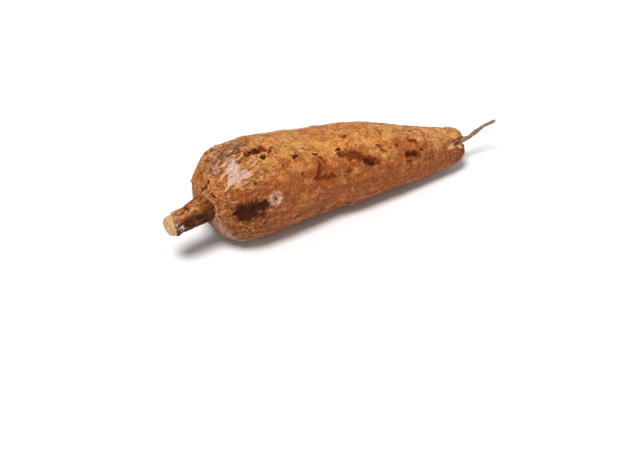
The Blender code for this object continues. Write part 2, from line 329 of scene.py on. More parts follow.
# %% Marks on the side that nobody sees: a seeded draw and a few listed ones
HIDDEN_TURNS = (112, 338)
HIDDEN_SCABS = 46
SCAB_ALONG = (-106, 104)
SCAB_STRETCH = (-1, 7)
SCAB_SLANT = (-9, 9)
SCAB_REACH = (0.8, 2.6)
HIDDEN_SPOTS = 70
SPOT_ALONG = (-110, 112)
SPOT_STRETCH = 0.8
SPOT_SLANT = 1
SPOT_REACH = (0.6, 1.2)

for number in range(HIDDEN_SCABS):
    along, turned = random.uniform(*SCAB_ALONG), random.uniform(*HIDDEN_TURNS)
    far_along, far_turned = along + random.uniform(*SCAB_STRETCH), turned + random.uniform(*SCAB_SLANT)
    mark = ((along, turned), (far_along, far_turned), random.uniform(*SCAB_REACH))
    (DARK_SCABS if number % 3 == 0 else BROWN_SCABS).append(mark)
for number in range(HIDDEN_SPOTS):
    along, turned = random.uniform(*SPOT_ALONG), random.uniform(*HIDDEN_TURNS)
    spot_end = (along + SPOT_STRETCH, turned + SPOT_SLANT)
    BROWN_SCABS.append(((along, turned), spot_end, random.uniform(*SPOT_REACH)))
DARK_SCABS += [((-66, 232), (-52, 236), 3.8), ((14, 262), (22, 268), 2.8)]
VIOLET_AREAS += [((-92, 300), (-70, 312), 6.0), ((-20, 250), (0, 262), 5.0), ((40, 220), (60, 226), 4.0)]
GREY_AREAS += [((-60, 180), (30, 176), 9.0), ((-100, 270), (-92, 300), 5.0), ((60, 190), (95, 200), 5.0)]
RUST_AREAS += [((-50, 262), (-10, 270), 8.0), ((20, 240), (70, 236), 8.0), ((-90, 200), (-60, 210), 7.0)]
RING_SCARS += [(-30, 200, 4.6), (38, 300, 3.6), (-72, 285, 4.2), (70, 150, 2.8), (6, 140, 3.2)]
print(len(DARK_SCABS) + len(BROWN_SCABS), "scabs and", len(RING_SCARS), "ring scars")

# %% Soft fields of the marks, one value for each point of the skin
EDGE_SHADE_TURN = 3
EDGE_WANDER = 0.35
EDGE_SOFT = 0.8
FAR_FROM_RINGS = 3.0


def below(place):
    return place[0], place[1] + EDGE_SHADE_TURN


dark_field = blot(DARK_SCABS)
brown_field = blot(BROWN_SCABS)
violet_field = blot(VIOLET_AREAS)
bloom_and_highlight_field = blot(BLOOM_AND_HIGHLIGHT_AREAS)
rust_field = blot(RUST_AREAS)
grey_field = blot(GREY_AREAS)
orange_field = blot(ORANGE_AREAS)
yellow_field = blot(YELLOW_AREAS)
shaded_edges = [(below(near), below(far), reach) for near, far, reach in PAPER_EDGES]
nearly_still = skin_points + EDGE_WANDER * (wandering - skin_points)
edge_field = fade(blot(PAPER_EDGES, nearly_still), 0, EDGE_SOFT)
shade_field = fade(blot(shaded_edges, nearly_still), 0, EDGE_SOFT)
ring_field = np.full(len(skin_points), FAR_FROM_RINGS)
for along, turned, reach in RING_SCARS:
    ring_field = np.minimum(ring_field, away_from(skin_points, (along, turned), (along, turned)) / reach)
print("scabs cover", round(100 * float((np.maximum(dark_field, brown_field) > 0).mean()), 1), "% of the skin")

# %% [markdown]
# ## Relief of the skin
# Bark is never even: it swells and sinks over a thumb's width, fine ridges fan out from the stem over the
# shoulder, the thin end is wrinkled round like a finger, scabs lie a little below the bark that is left, and
# a raised lip runs round the foot of the stem. Sculpting would do it by hand. Here all kinds of relief are
# added up to one height for every point, in millimetres. A vertex group holds those heights as weights, and a
# Displace modifier moves the skin by them. They fade out near the ground, so that the flat spots stay flat.

# %% Helpers for relief
SMALLEST_WEIGHT = 0.002


def raise_by(thing, height, weights, direction="NORMAL"):
    """Moves each point by a height in millimetres times its weight, from 0 to 1."""
    group = thing.vertex_groups.new(name="relief")
    for index, weight in enumerate(np.clip(weights, 0, 1).tolist()):
        if weight > SMALLEST_WEIGHT:
            group.add([index], weight, "REPLACE")
    apply_modifier(
        thing, "DISPLACE", vertex_group="relief", strength=height * MM, mid_level=0, direction=direction
    )
    thing.vertex_groups.remove(thing.vertex_groups["relief"])


def mark_attribute(thing, name, values, kind="FLOAT"):
    """Keeps one value, or one vector, for each point of a mesh, which a material can read by name."""
    made = thing.data.attributes.new(name, kind, "POINT")
    field = "value" if kind == "FLOAT" else "vector"
    made.data.foreach_set(field, np.ascontiguousarray(values, dtype=np.float32).ravel())

# %% Swells, streaks, wrinkles and scabs: heights in millimetres
SWELL = 1.0
LUMP = 0.8
STREAK = 0.06
SHOULDER_STREAK = 0.5
FRAYED_STREAK = 0.8
SHOULDER_SUNK = 0.9
TAIL_WRINKLE = 1.1
FLAKE = 0.42
FLAKE_SUNK = 0.25
EDGE_RISE = 0.55
EDGE_SHADE_DEPTH = 0.4
SCAB_RIM_RISE = 0.3
SCAB_RIM_WIDTH = 0.35
SCAB_DEPTH = 0.6
RING_RISE = 0.6
RING_PLACE = 0.85
RING_WIDTH = 0.16
RING_DEPTH = 0.5

shoulder = fade(skin_along, -52, -88)
tail = fade(skin_along, 45, 80)
scab_field = np.maximum(dark_field, brown_field)
streaks = fade(noise_at(flow, (7.5, 2.0, 2.0), 2, 1.7), 0.34, 0.62)
flakes = fade(noise_at(flow, (2.6, 2.2, 2.2), 2, 9.4), 0.35, 0.6)
frayed = fade(noise_at(places_mm, (16, 16, 16), 1, 6.6), 0.36, 0.56)
relief = SWELL * (noise_at(places_mm, (24, 15, 15), 2) - 0.5)
relief += LUMP * (noise_at(places_mm, (6, 5, 5), 2, 3.3) - 0.5)
relief += streaks * (STREAK + shoulder * (SHOULDER_STREAK + FRAYED_STREAK * frayed))
relief -= SHOULDER_SUNK * shoulder
relief += TAIL_WRINKLE * tail * (noise_at(flow, (3.6, 50, 50), 2, 5.1) - 0.5)
relief += FLAKE * flakes - FLAKE_SUNK
relief += EDGE_RISE * edge_field - EDGE_SHADE_DEPTH * shade_field
relief += SCAB_RIM_RISE * hump(scab_field, 0, SCAB_RIM_WIDTH) - SCAB_DEPTH * fade(scab_field, -0.1, 0.5)
relief += RING_RISE * hump(ring_field, RING_PLACE, RING_WIDTH) - RING_DEPTH * fade(ring_field, 0.6, 0.2)
print("relief from", round(relief.min(), 2), "to", round(relief.max(), 2), "mm")

# %% Lip at the stem's foot, and the nub beside it
STEM_LIP_REACH = 0.0122
STEM_LIP_WIDTH = 0.0011
STEM_LIP_RISE = 0.9
OLD_LIP_REACH = 0.0150
OLD_LIP_WIDTH = 0.0028
OLD_LIP_SUNK = 0.6
NUB = (-113, -58)
NUB_RISE = 1.9

stem_way = np.array(STEM_WAY)
to_foot = skin_points - np.array(STEM_FOOT)
from_stem = np.linalg.norm(to_foot - np.outer(to_foot @ stem_way, stem_way), axis=1)
facing_stem = fade(-skin_points[:, 0], 0.096, 0.102)
round_stem = np.degrees(np.arctan2(-to_foot[:, 1], to_foot[:, 2]))
lip_wander = 0.0007 * np.sin(round_stem / 13) + 0.0003 * np.sin(round_stem / 4.1)
lip_part = fade(round_stem, -22, 2) * fade(round_stem, 128, 104)
lip_field = hump(from_stem + lip_wander, STEM_LIP_REACH, STEM_LIP_WIDTH) * facing_stem * lip_part
old_lip = hump(from_stem, OLD_LIP_REACH, OLD_LIP_WIDTH) * facing_stem
relief += STEM_LIP_RISE * lip_field - OLD_LIP_SUNK * old_lip
relief += NUB_RISE * fade(away_from(skin_points, NUB, NUB), 2.1, 0.2)
print("the lip stands round", round(100 * float((lip_field > 0.5).mean()), 2), "% of the skin")

# %% Split tail, and two corrections of the outline: lower on the far side, fuller at the tail's end
CLEFT_MIDDLE = (0.1135, -0.0125, 0.0286)
CLEFT_HALF = (0.0150, 0.0080, 0.0021)
CLEFT_ROLL = -40
CLEFT_PITCH = 7
CLEFT_YAW = 22
CLEFT_EVEN = 0.7
FAR_SIDE_ALONG = 21
FAR_SIDE_WIDTH = 9
FAR_SIDE_SUNK = 1.1
TAIL_LOBE_ALONG = 112
TAIL_LOBE_WIDTH = 6
TAIL_LOBE_RISE = 2.0
TAIL_LOBE_TURN = -15

cleft_frame = Matrix.Rotation(math.radians(CLEFT_YAW), 3, "Z")
cleft_frame = cleft_frame @ Matrix.Rotation(math.radians(CLEFT_PITCH), 3, "Y")
cleft_frame = cleft_frame @ Matrix.Rotation(math.radians(CLEFT_ROLL), 3, "X")
in_cleft = (skin_points - np.array(CLEFT_MIDDLE)) @ np.array(cleft_frame) / np.array(CLEFT_HALF)
cleft_wall = fade(np.linalg.norm(in_cleft, axis=1), 1.75, 1.1)
cleft_deep = fade(in_cleft[:, 1], 0.4, 0.8)
far_side = fade(-skin_turn, -20, 20) * fade(-skin_turn, 110, 70)
lobe_side = fade(np.abs(skin_turn - TAIL_LOBE_TURN), 62, 30)
relief = relief * (1 - CLEFT_EVEN * cleft_wall)
relief -= FAR_SIDE_SUNK * far_side * hump(skin_along, FAR_SIDE_ALONG, FAR_SIDE_WIDTH)
relief += TAIL_LOBE_RISE * lobe_side * hump(skin_along, TAIL_LOBE_ALONG, TAIL_LOBE_WIDTH)
print(int((cleft_wall > 0.5).sum()), "points line the split")

# %% Move the skin by the whole relief at once
clear_of_ground = fade(skin_points[:, 2], 0.0006, 0.0045)
relief = relief * clear_of_ground
lowest, highest = relief.min(), relief.max()
raise_by(skin, lowest, np.ones(len(relief)))
raise_by(skin, highest - lowest, (relief - lowest) / (highest - lowest))
low_points = [vertex for vertex in skin.data.vertices if vertex.co.z < 0]
for vertex in low_points:
    vertex.co.z = 0
print("relief done;", len(low_points), "points set on the ground")

# %% Keep the marks' fields for the material
sideways = skin_turn + 44 * (noise_at(places_mm, (30, 22, 22), 2, 12.3) - 0.5)
# a paler band along the top of the far side: dust, with a painted sheen along the outline there
dust_and_sheen_side = fade(-skin_turn, 15, 30) * fade(-skin_turn, 58, 42)
dust_and_sheen_length = fade(skin_along, 104, 60) * fade(skin_along, -106, -80)
dust_and_sheen_patches = 0.2 + 0.8 * fade(noise_at(places_mm, (26, 12, 12), 2, 15.8), 0.42, 0.58)
mark_attribute(skin, "flow", flow, "FLOAT_VECTOR")
for name, values in (
    ("dark_scab", dark_field),
    ("brown_scab", brown_field),
    ("violet", violet_field),
    ("bloom_and_highlight", bloom_and_highlight_field),
    ("rust", rust_field),
    ("grey", grey_field),
    ("orange", orange_field),
    ("yellow", yellow_field),
    ("ring", ring_field),
    ("edge", edge_field),
    ("edge_shade", shade_field),
    ("lip", lip_field),
    ("cleft", cleft_wall),
    ("cleft_deep", cleft_deep),
    ("flank", np.maximum(fade(sideways, 26, 82), fade(-sideways, 74, 130))),
    # dust with a painted sheen
    ("dust_and_sheen", dust_and_sheen_side * dust_and_sheen_length * dust_and_sheen_patches),
    # the underside, painted greyer: a painted reflection of the pale floor
    ("under", fade(np.abs(skin_turn), 105, 165)),
    ("tail", tail),
    ("shoulder", shoulder),
    ("front", fade(skin_along, -99, -107)),
):
    mark_attribute(skin, name, values)
pick_only(skin)
bpy.ops.object.shade_smooth()
print("skin carries", len(skin.data.attributes), "attributes")

# %% [markdown]
# ## The stem stub
# The stub is a piece of the plant's woody stem: a rough bark sleeve with long cracks, torn off raggedly near
# its end, round a paler wood core that was snapped across. Both are tubes that change their thickness, so
# each one is drawn out ring by ring from a circle, which is what a person does by hand with extrude and
# scale. They are made standing upright, where their textures are easy to stretch, then laid over.

# %% Draw a tube out of a circle, ring by ring
def draw_out(name, sides, profile):
    """An upright tube: profile lists its (height, radius) in millimetres, from the foot up."""
    first_height, first_radius = profile[0]
    bpy.ops.object.select_all(action="DESELECT")
    bpy.ops.mesh.primitive_circle_add(
        vertices=sides, radius=first_radius * MM, fill_type="NOTHING", location=(0, 0, first_height * MM)
    )
    tube = bpy.context.object
    tube.name = name
    bpy.ops.object.transform_apply(location=True, rotation=True, scale=True)
    bpy.ops.object.mode_set(mode="EDIT")
    bpy.ops.mesh.select_all(action="SELECT")
    for (low, narrow), (high, wide) in zip(profile, profile[1:]):
        bpy.ops.mesh.extrude_region_move(TRANSFORM_OT_translate={"value": (0, 0, (high - low) * MM)})
        bpy.ops.transform.resize(value=(wide / narrow, wide / narrow, 1))
    bpy.ops.object.mode_set(mode="OBJECT")
    return tube


def radius_between(stations, height):
    heights, radii = zip(*stations)
    return float(np.interp(height, heights, radii))


def keep_upright_place(thing):
    """Keeps each point's place in the upright piece, so that its grain follows it once it is laid over."""
    mark_attribute(thing, "upright", positions(thing) / MM, "FLOAT_VECTOR")


def lay_over(thing, foot, way):
    pick_only(thing)
    thing.rotation_mode = "QUATERNION"
    thing.rotation_quaternion = way.to_track_quat("Z", "Y")
    thing.location = foot
    bpy.ops.object.transform_apply(location=True, rotation=True, scale=True)

# %% Bark sleeve of the stem
SLEEVE_FOOT = -7.0
SLEEVE_END = 24.0
SLEEVE_RING = 0.5
SLEEVE_SIDES = 110
SLEEVE_RADII = [(-7, 9.6), (-2, 9.3), (1, 9.0), (4, 8.5), (8, 8.1), (14, 7.8), (18, 7.6), (24, 7.5)]
TEAR_DEPTH = 3.0
TEAR_NEAR = 2.3
TEAR_UPPER = -1.9
TEAR_MIDDLE = 0.7
TEAR_LIMIT = 12
UPPER_EDGE = Vector((-0.18, 0.68, 0.71))
NEAR_SIDE = Vector((0.0, -0.72, 0.69))
SLEEVE_WALL = 0.0009
SLEEVE_SWELL = 1.1
SLEEVE_CRACK = 1.1
SLEEVE_CRUMB = 0.7
SLEEVE_FRAY = 1.0
SLEEVE_SUNK = 1.4
SLEEVE_SHARP = 50

ring_count = round((SLEEVE_END - SLEEVE_FOOT) / SLEEVE_RING)
ring_heights = [SLEEVE_FOOT + SLEEVE_RING * i for i in range(ring_count + 1)]
sleeve = draw_out("stem_bark", SLEEVE_SIDES, [(h, radius_between(SLEEVE_RADII, h)) for h in ring_heights])
upright_places = positions(sleeve) / MM
height_up = upright_places[:, 2]
upright_turn = STEM_WAY.to_track_quat("Z", "Y").inverted()
round_way = upright_places * (1, 1, 0) / np.hypot(upright_places[:, 0], upright_places[:, 1])[:, None]
to_upper = round_way @ np.array(upright_turn @ UPPER_EDGE)
to_near = round_way @ np.array(upright_turn @ NEAR_SIDE)
reach = TEAR_MIDDLE + TEAR_NEAR * to_near + TEAR_UPPER * to_upper
reach = reach + TEAR_DEPTH * (noise_at(upright_places, (2.6, 2.6, 80), 3) - 0.5) * 2
near_end = fade(height_up, 10, 24)
raise_by(sleeve, TEAR_LIMIT, near_end * np.clip(reach, 0, TEAR_LIMIT) / TEAR_LIMIT, "Z")
raise_by(sleeve, -TEAR_LIMIT, near_end * np.clip(-reach, 0, TEAR_LIMIT) / TEAR_LIMIT, "Z")
raise_by(sleeve, SLEEVE_SWELL, noise_at(upright_places, (8, 8, 11), 2, 2.2))
raise_by(sleeve, SLEEVE_CRACK, fade(noise_at(upright_places, (2.6, 2.6, 8), 2, 7.1), 0.3, 0.62))
raise_by(sleeve, SLEEVE_CRUMB, noise_at(upright_places, (1.5, 1.5, 2.2), 2, 4.4))
raise_by(sleeve, SLEEVE_FRAY, fade(height_up, 21.5, 24) * noise_at(upright_places, (3, 3, 40), 2, 8.8))
raise_by(sleeve, -SLEEVE_SUNK, np.ones(len(height_up)))
keep_upright_place(sleeve)
apply_modifier(sleeve, "SOLIDIFY", thickness=SLEEVE_WALL, offset=-1.0, use_even_offset=False)
lay_over(sleeve, STEM_FOOT, STEM_WAY)
bpy.ops.object.shade_smooth_by_angle(angle=math.radians(SLEEVE_SHARP))
print("bark sleeve:", triangles(sleeve), "triangles")

# %% Wood core of the stem
CORE_FOOT = -6.0
CORE_END = 31.2
CORE_RING = 0.6
CORE_RADII = [(-6, 7.0), (10, 7.0), (20, 7.3), (24, 7.4), (28, 7.3), (30.2, 7.0), (31.2, 6.5)]
CORE_SIDES = 96
FACE_RINGS = (0.93, 0.9, 0.88, 0.86, 0.84, 0.8, 0.74, 0.66, 0.5)
CORE_ROUGH = 0.8
CORE_SUNK = 0.4
FACE_ROUGH = 1.4
PITH_DEPTH = 0.9
CORE_SHARP = 40

ring_count = round((CORE_END - CORE_FOOT) / CORE_RING)
ring_heights = [CORE_FOOT + CORE_RING * i for i in range(ring_count + 1)]
core = draw_out("stem_wood", CORE_SIDES, [(h, radius_between(CORE_RADII, h)) for h in ring_heights])
pick_only(core)
for face_end in (CORE_END, CORE_FOOT):
    for vertex in core.data.vertices:
        vertex.select = abs(vertex.co.z / MM - face_end) < 0.05
    bpy.ops.object.mode_set(mode="EDIT")
    bpy.ops.mesh.select_mode(type="VERT")
    for share in FACE_RINGS:
        bpy.ops.mesh.extrude_region_move(TRANSFORM_OT_translate={"value": (0, 0, 0)})
        bpy.ops.transform.resize(value=(share, share, 1))
    bpy.ops.mesh.merge(type="CENTER")
    bpy.ops.mesh.select_all(action="DESELECT")
    bpy.ops.object.mode_set(mode="OBJECT")
bpy.ops.object.mode_set(mode="EDIT")
bpy.ops.mesh.select_all(action="SELECT")
bpy.ops.mesh.normals_make_consistent(inside=False)
bpy.ops.object.mode_set(mode="OBJECT")
core_places = positions(core) / MM
from_middle = np.hypot(core_places[:, 0], core_places[:, 1])
cut_face = fade(core_places[:, 2], 28, 31)
raise_by(core, CORE_ROUGH, noise_at(core_places, (1.4, 1.4, 15), 2))
raise_by(core, -CORE_SUNK, np.ones(len(core_places)))
raise_by(core, -FACE_ROUGH, cut_face * noise_at(core_places, (2.2, 2.2, 20), 4, 6.2), "Z")
raise_by(core, -PITH_DEPTH, cut_face * fade(from_middle, 1.6, 1.0), "Z")
keep_upright_place(core)
lay_over(core, STEM_FOOT, STEM_WAY)
bpy.ops.object.shade_smooth_by_angle(angle=math.radians(CORE_SHARP))
print("wood core:", triangles(core), "triangles")

# %% [markdown]
# ## The feeder root
# A root as thin as a match runs out of the tail and bends up. It is a curve with its own thickness at every
# point: wide where it leaves the tail, then uneven, with a knot halfway and a blunt broken tip. The curve is
# turned into a mesh and roughened along its length. Its rise is a list of places, a share of its length and a
# height each, and its thickness is another one.

# %% Feeder root as a curve
THREAD_START = (106.5, -3.1, 22.6)
THREAD_LENGTH = 41.8
THREAD_SWAY = 2.0
THREAD_WAVE = 4.2
THREAD_RISE = [
    (0, 0), (0.25, -1.0), (0.31, -1.6), (0.43, -2.4), (0.5, -1.0), (0.57, 1.0), (0.79, 6.6), (1, 9.0),
]
THREAD_RADII = [
    (0, 5.6), (0.12, 4.6), (0.25, 3.6), (0.31, 2.7), (0.38, 1.9), (0.44, 1.5), (0.50, 1.5), (0.56, 1.7),
    (0.62, 1.8), (0.69, 1.3), (0.75, 1.15), (0.81, 1.2), (0.88, 1.1), (0.94, 1.25), (1, 1.15),
]
THREAD_ROUGH = 0.6
THREAD_CRUMB = 0.3
THREAD_SUNK = 0.4


def thread_place(share):
    """The place of the feeder root's middle, in metres, at a share of its length."""
    x, y, z = THREAD_START
    sway = THREAD_SWAY * math.sin(THREAD_WAVE * share)
    return Vector((x + THREAD_LENGTH * share, y + sway, z + float(np.interp(share, *zip(*THREAD_RISE))))) * MM


curve = bpy.data.curves.new("feeder_root", "CURVE")
curve.dimensions = "3D"
curve.bevel_depth = 1.0
curve.bevel_resolution = 7
curve.use_fill_caps = True
curve.resolution_u = 8
spline = curve.splines.new("NURBS")
spline.points.add(len(THREAD_RADII) - 1)
for point, (share, radius) in zip(spline.points, THREAD_RADII):
    point.co = (*thread_place(share), 1)
    point.radius = radius * MM
spline.order_u = 3
spline.use_endpoint_u = True
thread = bpy.data.objects.new("feeder_root", curve)
bpy.context.scene.collection.objects.link(thread)
pick_only(thread)
bpy.ops.object.convert(target="MESH")
thread = bpy.context.object
apply_modifier(thread, "SUBSURF", levels=1, render_levels=1)
thread_places = positions(thread) / MM
raise_by(thread, THREAD_ROUGH, noise_at(thread_places, (3.5, 1.2, 1.2), 2))
raise_by(thread, THREAD_CRUMB, noise_at(thread_places, (0.9, 0.9, 0.9), 2, 4.2))
raise_by(thread, -THREAD_SUNK, np.ones(len(thread_places)))
pick_only(thread)
bpy.ops.object.shade_smooth()
print("feeder root:", triangles(thread), "triangles")

# %% [markdown]
# ## Shader maths in plain Python
# A bark material needs many small sums. Wrapping a socket in a class with operators lets them be written as
# expressions: each operator adds one Math node. Every other kind of node comes from the one method below.

# %% A socket that can be calculated with
class Shade:
    def __init__(self, tree, socket):
        self.tree = tree
        self.socket = socket

    def node(self, kind, settings=None, inputs=None, out=0):
        made = self.tree.nodes.new(kind)
        for name, value in (settings or {}).items():
            setattr(made, name, value)
        for name, value in (inputs or {}).items():
            if isinstance(value, Shade):
                self.tree.links.new(value.socket, made.inputs[name])
            else:
                made.inputs[name].default_value = value
        return Shade(self.tree, made.outputs[out])

    def maths(self, operation, *values):
        return self.node("ShaderNodeMath", {"operation": operation}, dict(enumerate(values)))

    def __add__(self, other):
        return self.maths("ADD", self, other)

    def __sub__(self, other):
        return self.maths("SUBTRACT", self, other)

    def __rsub__(self, other):
        return self.maths("SUBTRACT", other, self)

    def __mul__(self, other):
        return self.maths("MULTIPLY", self, other)

    __radd__ = __add__
    __rmul__ = __mul__


def new_material(name):
    """A material with one Principled shader: the material, its shader node and a Shade to start from."""
    material = bpy.data.materials.new(name)
    material.use_nodes = True
    shader = material.node_tree.nodes["Principled BSDF"]
    return material, shader, Shade(material.node_tree, None)


def connect(shader, name, value):
    value.tree.links.new(value.socket, shader.inputs[name])


def bumped(shader, height, depth, strength):
    values = {"Strength": strength, "Distance": depth, "Height": height}
    connect(shader, "Normal", height.node("ShaderNodeBump", {}, values, "Normal"))

# %% Helpers for places on a piece
def attribute(start, name, out="Fac"):
    return start.node("ShaderNodeAttribute", {"attribute_name": name}, {}, out)


def stretched(place, x, y, z):
    return place.node("ShaderNodeVectorMath", {"operation": "MULTIPLY"}, {0: place, 1: (x, y, z)})


def place_in_mm(start):
    place = start.node("ShaderNodeTexCoord", {}, {}, "Object")
    return stretched(place, 1 / MM, 1 / MM, 1 / MM)


def part_of(vector, number):
    """The x, y or z of a vector, for a number of 0, 1 or 2."""
    return vector.node("ShaderNodeSeparateXYZ", {}, {0: vector}, number)

# %% Helpers for noise and colours
def cloud(place, size, detail, harshness=0.55, wander=0.0):
    """Noise from 0 to 1 with lumps of the given size in the place's own unit."""
    return place.node(
        "ShaderNodeTexNoise", {}, {"Vector": place, "Scale": 1 / size, "Detail": detail,
                                   "Roughness": harshness, "Distortion": wander},
    )


def cells(place, size, feature="F1", out="Distance"):
    return place.node("ShaderNodeTexVoronoi", {"feature": feature}, {"Vector": place, "Scale": 1 / size}, out)


def swing(noise_value, reach):
    """Noise that swings evenly round 0, so that it moves an edge to both sides."""
    return (noise_value - 0.5) * reach


def step_up(value, start, end):
    """0 at start, 1 at end and smooth between them, for a socket; it falls where end is below start."""
    return value.node(
        "ShaderNodeMapRange", {"interpolation_type": "SMOOTHSTEP"},
        {"Value": value, "From Min": start, "From Max": end},
    )


def mixed(share, first, second):
    """The second colour where share is 1, the first where it is 0."""
    def full(colour):
        return colour if isinstance(colour, Shade) else (*colour, 1)
    return share.node(
        "ShaderNodeMix", {"data_type": "RGBA", "clamp_factor": True},
        {0: share, 6: full(first), 7: full(second)}, 2,
    )


def laid_over(colour, layers):
    """Colours laid over one another: a layer is a field, its value at 0 and at full, a share and a colour."""
    for field, nothing, full, share, over in layers:
        colour = mixed(step_up(field, nothing, full) * share, colour, over)
    return colour

# %% [markdown]
# ## Bark of the root
# The bark is a thin brown paper that flakes off in places. Under it the root is ochre and orange, redder and
# darker on the flank, partly its own red and partly painted shade, and greyer underneath, a painted
# reflection of
# the pale floor. A photograph could be wrapped round it, but only one side has one. Here four things build it
# up:
# slow changes of colour, a mottle of a few millimetres, fine cross cracks and specks, and then the marks,
# whose soft fields are cut to ragged edges by noise.

# %% Colours of the bark
OCHRE = (0.62, 0.245, 0.062)
ORANGE = (0.58, 0.165, 0.030)
YELLOW_OCHRE = (0.64, 0.315, 0.085)
PALE_OCHRE = (0.78, 0.400, 0.145)
PEACH = (0.88, 0.520, 0.270)
BROWN = (0.17, 0.042, 0.008)
RED_BROWN = (0.30, 0.060, 0.010)
# the flank's red: the bark's own red and painted shade on the lower side
FLANK_RED_AND_SHADE = (0.30, 0.063, 0.010)
SCAB_RED = (0.170, 0.034, 0.006)
SCAB_BROWN = (0.100, 0.018, 0.003)
SCAB_DARK = (0.036, 0.007, 0.001)
BRIGHT_ORANGE = (0.68, 0.210, 0.032)
BRIGHT_YELLOW = (0.70, 0.350, 0.085)
VIOLET_BROWN = (0.150, 0.048, 0.026)
VIOLET_PALE = (0.41, 0.178, 0.090)
# the bloom's colours: pale waxy bark with a painted highlight in it
BLOOM_AND_HIGHLIGHT = (0.82, 0.56, 0.45)
BLOOM_GREY = (0.60, 0.38, 0.29)
GREY_SKIN = (0.32, 0.170, 0.105)
WHITE_SKIN = (0.66, 0.45, 0.32)
# dust colours, which also carry a painted sheen along the top of the far side
DUST_AND_SHEEN = (0.72, 0.46, 0.33)
DUST_AND_SHEEN_DARK = (0.54, 0.270, 0.140)
TAIL_PALE = (0.70, 0.370, 0.150)
# the lip's pale tan: a painted highlight along the raised rim
LIP_TAN_HIGHLIGHT = (0.68, 0.36, 0.19)
CLEFT_PALE = (0.72, 0.42, 0.24)
CLEFT_BROWN = (0.46, 0.215, 0.100)

# %% Clouds and parts that the bark is made of
bark, bark_shader, start = new_material("root bark")
place = place_in_mm(start)
flow_place = attribute(start, "flow", "Vector")
blotch = cloud(stretched(place, 0.8, 1, 1), 12, 3, 0.55, 0.8)
slow = cloud(place, 30, 2)
slower = cloud(stretched(place, 0.6, 1, 1), 20, 3, 0.6)
mottle = cloud(stretched(place, 0.8, 1, 1), 5.5, 4, 0.55, 0.8)
paper = cloud(place, 2.3, 5, 0.65, 0.5)
grain = cloud(place, 1.1, 3, 0.65)
rings = cloud(stretched(flow_place, 1.0, 0.14, 0.14), 2.6, 3, 0.6, 0.3)
streaks = cloud(stretched(flow_place, 0.24, 1.0, 1.0), 1.5, 3, 0.6, 0.3)
shoulder_part = attribute(start, "shoulder")
tail_part = attribute(start, "tail")
flank = attribute(start, "flank")
front = attribute(start, "front")
under = attribute(start, "under")

# %% Scales of papery bark, each with a tone of its own
SCALE_SIZE = 2.1
DRIFT_SIZE = 3.0
DRIFT_REACH = 2.6

drift = start.node(
    "ShaderNodeTexNoise", {}, {"Vector": place, "Scale": 1 / DRIFT_SIZE, "Detail": 3.0}, "Color"
)
drifted = start.node(
    "ShaderNodeVectorMath", {"operation": "MULTIPLY_ADD"}, {0: drift, 1: (DRIFT_REACH,) * 3, 2: place}
)
scale_colour = cells(drifted, SCALE_SIZE, out="Color")
scale_edge = cells(drifted, SCALE_SIZE, "DISTANCE_TO_EDGE")
scale_lift = part_of(scale_colour, 1)
tone = swing(part_of(scale_colour, 0), 0.15 + 0.5 * shoulder_part) + swing(paper, 1.35) + 0.5
print("scales of", SCALE_SIZE, "mm")

# %% Slow and quick changes of colour
pale_share = 1 - 0.75 * flank
frayed = shoulder_part * (1 - 0.75 * front)
# redder and darker towards the flank: the bark's own red with painted shade
reddened_and_shaded = flank + swing(mottle, 1.1) + swing(blotch, 0.8)
orange_area = attribute(start, "orange") + swing(mottle, 2.2)
yellow_area = attribute(start, "yellow") + swing(mottle, 2.2)
stain = cloud(stretched(place, 0.6, 1, 1), 5, 5, 0.6, 0.8)

colour = mixed(step_up(slow, 0.38, 0.62), OCHRE, ORANGE)
colour = laid_over(colour, [(slower, 0.48, 0.66, 0.8, YELLOW_OCHRE)])
colour = mixed(tail_part * 0.45, colour, TAIL_PALE)
colour = laid_over(colour, [
    (blotch, 0.54, 0.64, 0.6, ORANGE),
    (blotch, 0.46, 0.36, 0.5, YELLOW_OCHRE),
    (reddened_and_shaded, 0.1, 0.8, 0.92, FLANK_RED_AND_SHADE),
])
colour = mixed(front * 0.85, colour, ORANGE)
colour = laid_over(colour, [
    (orange_area, -0.2, 0.8, 0.8, BRIGHT_ORANGE),
    (yellow_area, -0.2, 0.8, 0.65, BRIGHT_YELLOW),
    (mottle, 0.53, 0.61, 0.65, RED_BROWN),
    (mottle, 0.47, 0.39, 0.5 * pale_share, PALE_OCHRE),
    (tone, 0.56, 0.70, 0.45 + 0.2 * frayed, BROWN),
    (tone, 0.42, 0.28, (0.48 + 0.15 * shoulder_part) * pale_share, PALE_OCHRE),
    (scale_edge, 0.07, 0.0, 0.3 * shoulder_part, BROWN),
    (streaks, 0.53, 0.60, 0.05 + 0.66 * frayed, BROWN),
    (streaks, 0.45, 0.38, (0.03 + 0.7 * frayed) * (1 - 0.6 * flank), PEACH),
    (rings, 0.54, 0.64, 0.12 + 0.4 * tail_part, BROWN),
    (rings, 0.44, 0.34, (0.1 + 0.45 * tail_part) * pale_share, TAIL_PALE),
    (grain, 0.54, 0.66, 0.42, BROWN),
    (grain, 0.43, 0.33, 0.34 + 0.1 * shoulder_part, PEACH),
    (stain, 0.50, 0.59, 0.1 + 0.55 * flank, BROWN),
    (stain, 0.44, 0.36, 0.45 * flank, OCHRE),
])
print("ground colours take", len(bark.node_tree.nodes), "nodes")

